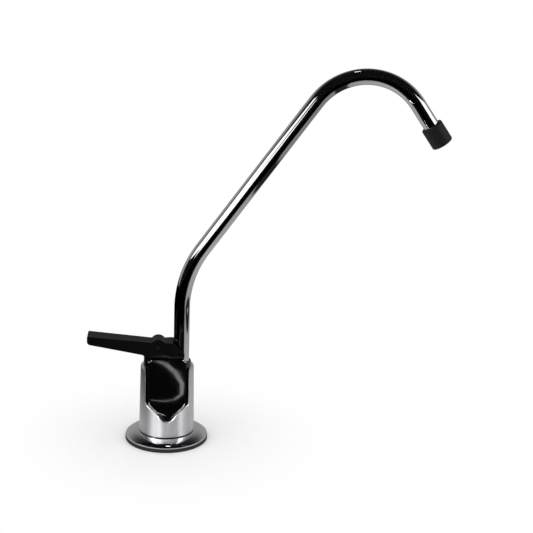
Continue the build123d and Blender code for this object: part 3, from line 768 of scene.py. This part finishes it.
def softbox(name, around_deg, up_deg, wide_deg, high_deg, brightness):
    """A rectangular lamp that fills wide_deg by high_deg of the room and looks as bright as brightness."""
    around, up_angle = math.radians(around_deg), math.radians(up_deg)
    outward = math.cos(up_angle)
    way = Vector((math.sin(around) * outward, math.cos(around) * outward, math.sin(up_angle)))
    light = bpy.data.lights.new(name, "AREA")
    light.shape = "RECTANGLE"
    light.size = 2 * lamp_distance * math.tan(math.radians(wide_deg / 2))
    light.size_y = 2 * lamp_distance * math.tan(math.radians(high_deg / 2))
    light.energy = brightness * math.pi * light.size * light.size_y
    lamp = add_object(name, light)
    facing = (-way).to_track_quat("-Z", "Y").to_matrix().to_4x4()
    lamp.matrix_world = Matrix.Translation(lamp_target + way * lamp_distance) @ facing
    lamp.visible_camera = False
    return lamp


def lit_only(name, pieces, lamps):
    """Keeps the lamps to the pieces. They light nothing else."""
    receivers = bpy.data.collections.new(name)
    for piece in pieces:
        receivers.objects.link(piece)
    for lamp in lamps:
        lamp.light_linking.receiver_collection = receivers


# %% Softboxes
# The numbers are degrees round, degrees up, degrees wide, degrees high and brightness
softbox("left_box", -115, 25, 40, 20, 1.4)
softbox("front_box", -149, 13, 20, 14, 1.4)
softbox("right_box", 108, 18, 44, 16, 1.3)
softbox("overhead_box", 10, 86, 6, 4, 3)
satin_lamps = [
    softbox("left_middle", -122, 22, 12, 6, 45),
    softbox("front_middle", -149, 13, 8, 6, 45),
    softbox("right_middle", 118, 22, 12, 6, 45),
    softbox("satin_fill", -165, 18, 110, 40, 1.2),
]
lit_only("satin_pieces", [sleeve_skin, *window_edges], satin_lamps)
edge_strips = [
    softbox("left_strip", -146, 23, 56, 7, 260),
    softbox("right_strip", 138, 23, 30, 7, 260),
]
for lamp in edge_strips:
    lamp.visible_diffuse = False
lit_only("black_pieces", [tap_pieces["valve_body"]], edge_strips)
print("lamps set:", len(bpy.data.lights))

# %% [markdown]
# ## Cards in front
#
# The black sides of the valve body would show the table in front of them as grey. Black cards laid there
# paint that reflection dark, and a curved white strip on them glows and paints the soft glint that runs
# down the side and turns back under it. A lamp could draw only a straight glint. Only reflections see these
# cards.

# %% Cards
card_height, card_grey = 0.0003, 0.004
# The white strip glows and paints a glint. It is no lamp, and these are its height and its glow
painted_glint_height, painted_glint_white = 0.0006, 6.2
near_card = [(-24, -48), (46, -48), (120, -135), (-75, -135)]
far_card = [(-75, -135), (120, -135), (185, -215), (-75, -215)]
painted_glint_middle = [
    (-10, -158), (-1, -147), (6, -130), (10.5, -108), (10, -88), (5, -78), (-2, -75), (-11, -77),
]
painted_glint_half = [1.2, 1.9, 2.0, 1.5, 1.2, 0.8, 0.6, 0.4]


def card(name, loops, height, brightness):
    """Flat quads through loops of (x, y) corners in millimetres, which only reflections see."""
    draft = bmesh.new()
    for loop in loops:
        draft.faces.new([draft.verts.new((x / 1000, y / 1000, height)) for x, y in loop])
    mesh = finished_mesh(name, draft)
    paper = bpy.data.materials.new(name)
    paper.use_nodes = True
    paper.cycles.emission_sampling = "NONE"
    glow = add_node(paper.node_tree, "ShaderNodeEmission", Color=white, Strength=brightness)
    surface = paper.node_tree.nodes["Material Output"].inputs["Surface"]
    paper.node_tree.links.new(glow.outputs["Emission"], surface)
    mesh.materials.append(paper)
    laid = add_object(name, mesh)
    laid.visible_camera = laid.visible_diffuse = laid.visible_shadow = False


# The black cards paint the reflections in front of the valve body dark. Nothing else sees them
card("dark_reflection_cards", [near_card, far_card], card_height, card_grey)
# The strip's outline, which paints the soft glint on the valve body's black sides
painted_glint_ends = []
for i, ((x, y), half) in enumerate(zip(painted_glint_middle, painted_glint_half)):
    before, after = painted_glint_middle[max(i - 1, 0)], painted_glint_middle[min(i + 1, len(painted_glint_middle) - 1)]
    along = Vector((after[0] - before[0], after[1] - before[1])).normalized()
    painted_glint_ends.append([(x - along.y * side * half, y + along.x * side * half) for side in (-1, 1)])
painted_glint_quads = [[p[0], p[1], q[1], q[0]] for p, q in zip(painted_glint_ends, painted_glint_ends[1:])]
card("painted_glint_strip", painted_glint_quads, painted_glint_height, painted_glint_white)
print("cards laid")

# %% [markdown]
# ## The camera
#
# The view was worked out from the photograph: a long lens about 0.7 m away, 15 degrees above the middle of
# the tap and turned 5 degrees, with a slight roll. A tracking constraint could aim the camera but couldn't
# roll it, so its three axes are worked out and set as a matrix.

# %% Camera
look_at, distance = Vector((0.05913, 0, 0.11104)), 0.700
elevation, yaw, roll = math.radians(15.11), math.radians(-4.97), math.radians(2.05)
focal_pixels, picture_pixels, sensor_mm, nearest = 1154.87, 533, 36, 0.01
outward = math.cos(elevation)
back = Vector((math.sin(yaw) * outward, -math.cos(yaw) * outward, math.sin(elevation)))
right = Vector((math.cos(yaw), math.sin(yaw), 0))
up = back.cross(right)
# The roll turns the two axes of the picture about the line of sight
rolled_right = right * math.cos(roll) + up * math.sin(roll)
rolled_up = up * math.cos(roll) - right * math.sin(roll)
camera_data = bpy.data.cameras.new("camera")
camera_data.sensor_width = sensor_mm
camera_data.lens = focal_pixels / picture_pixels * sensor_mm
camera_data.clip_start = nearest
camera = add_object("camera", camera_data)
axes_matrix = Matrix((rolled_right, rolled_up, back)).transposed().to_4x4()
camera.matrix_world = Matrix.Translation(look_at + back * distance) @ axes_matrix
bpy.context.scene.camera = camera
bpy.context.scene.view_settings.view_transform = "Standard"
print("camera at", [round(v, 3) for v in camera.location])
